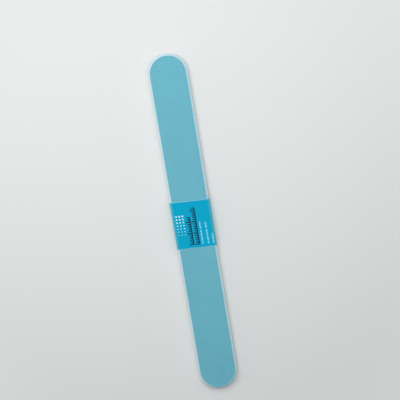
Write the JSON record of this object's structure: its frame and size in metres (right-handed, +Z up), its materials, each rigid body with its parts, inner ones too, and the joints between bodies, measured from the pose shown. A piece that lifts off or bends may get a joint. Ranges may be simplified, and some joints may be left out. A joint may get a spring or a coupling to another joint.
{
  "type": "nail file",
  "caption": "Straight double-sided cushioned nail file with round ends, fine blue abrasive faces, a pale foam rim and a removable printed label loop.",
  "frame": {"origin": "on the surface that the file lies on, below the middle of the board and of its label", "axes": "+Y along the board, towards the end that is uppermost in the picture; +X across it, to the right in the picture; +Z up, out of the face that shows"},
  "size_m": [0.0206, 0.178, 0.0045],
  "materials": {
    "core_plastic": "matte",
    "adhesive": "satin",
    "foam": "matte",
    "backing_film": "satin",
    "grit": "matte",
    "label_film": "gloss"
  },
  "bodies": {
    "board": {"core_plate": "core_plastic", "upper_core_adhesive": "adhesive", "lower_core_adhesive": "adhesive", "upper_foam_pad": "foam", "lower_foam_pad": "foam", "upper_film_adhesive": "adhesive", "lower_film_adhesive": "adhesive", "upper_backing_film": "backing_film", "lower_backing_film": "backing_film", "upper_grit_coat": "grit", "lower_grit_coat": "grit"},
    "label_sleeve": {"label_film": "label_film", "label_seam_adhesive": "adhesive"}
  },
  "joints": [
    {"name": "label_slide", "type": "slide", "parent": "board", "child": "label_sleeve", "axis": [0, 1, 0], "range_m": [-0.103, 0.103]}
  ]
}
